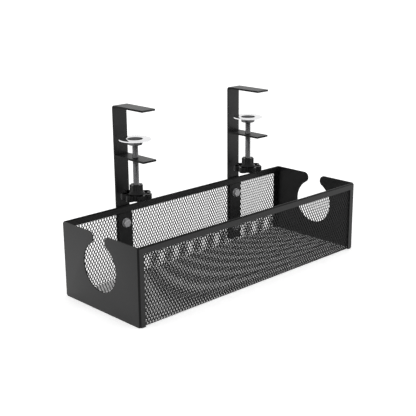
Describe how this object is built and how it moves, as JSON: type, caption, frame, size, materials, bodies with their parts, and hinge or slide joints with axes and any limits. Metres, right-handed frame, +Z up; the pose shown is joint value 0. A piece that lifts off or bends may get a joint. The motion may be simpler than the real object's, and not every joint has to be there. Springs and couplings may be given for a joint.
{
  "type": "under-desk cable tray",
  "caption": "Under-desk cable tray: a mesh basket between end plates with keyhole cable outlets, hung from screw clamps that grip a desk edge.",
  "frame": {"origin": "middle of the underside of the tray's floor", "axes": "+X along the tray to its right end, +Y to the back wall that carries the clamps, +Z up"},
  "size_m": [0.4, 0.155, 0.2315],
  "materials": {
    "powder_coat": "black powder coat, fine texture, semi-gloss",
    "zinc_steel": "zinc-plated steel, satin",
    "dark_steel": "dark plated screw thread",
    "chrome": "bright chrome plate",
    "knob_plastic": "black moulded plastic, satin"
  },
  "bodies": {
    "tray": {"mesh_basket": "powder_coat", "end_plate_left": "powder_coat", "end_plate_right": "powder_coat", "front_rail": "powder_coat", "back_rail": "powder_coat", "strap_left": "powder_coat", "clamp_post_left": "powder_coat", "clamp_arm_left": "powder_coat", "bolt_left_upper": "zinc_steel", "washer_left_upper": "zinc_steel", "nut_left_upper": "zinc_steel", "bolt_left_lower": "zinc_steel", "washer_left_lower": "zinc_steel", "nut_left_lower": "zinc_steel", "strap_right": "powder_coat", "clamp_post_right": "powder_coat", "clamp_arm_right": "powder_coat", "bolt_right_upper": "zinc_steel", "washer_right_upper": "zinc_steel", "nut_right_upper": "zinc_steel", "bolt_right_lower": "zinc_steel", "washer_right_lower": "zinc_steel", "nut_right_lower": "zinc_steel"},
    "left_pad": {"pad_left": "chrome"},
    "left_screw": {"clamp_screw_left": "dark_steel", "knob_left": "knob_plastic"},
    "right_pad": {"pad_right": "chrome"},
    "right_screw": {"clamp_screw_right": "dark_steel", "knob_right": "knob_plastic"}
  },
  "joints": [
    {"name": "left_pad_lift", "type": "slide", "parent": "tray", "child": "left_pad", "axis": [0, 0, 1], "range_m": [-0.016, 0.03]},
    {"name": "left_screw_turn", "type": "hinge", "parent": "left_pad", "child": "left_screw", "pos_m": [-0.10325, 0.04475, 0.15], "axis": [0, 0, 1], "range_deg": [-4608, 8640]},
    {"name": "right_pad_lift", "type": "slide", "parent": "tray", "child": "right_pad", "axis": [0, 0, 1], "range_m": [-0.016, 0.03]},
    {"name": "right_screw_turn", "type": "hinge", "parent": "right_pad", "child": "right_screw", "pos_m": [0.10325, 0.04475, 0.15], "axis": [0, 0, 1], "range_deg": [-4608, 8640]}
  ],
  "couplings": [
    {"joint": "left_screw_turn", "follows": "left_pad_lift", "rad_per_m": 5026.5},
    {"joint": "right_screw_turn", "follows": "right_pad_lift", "rad_per_m": 5026.5}
  ]
}
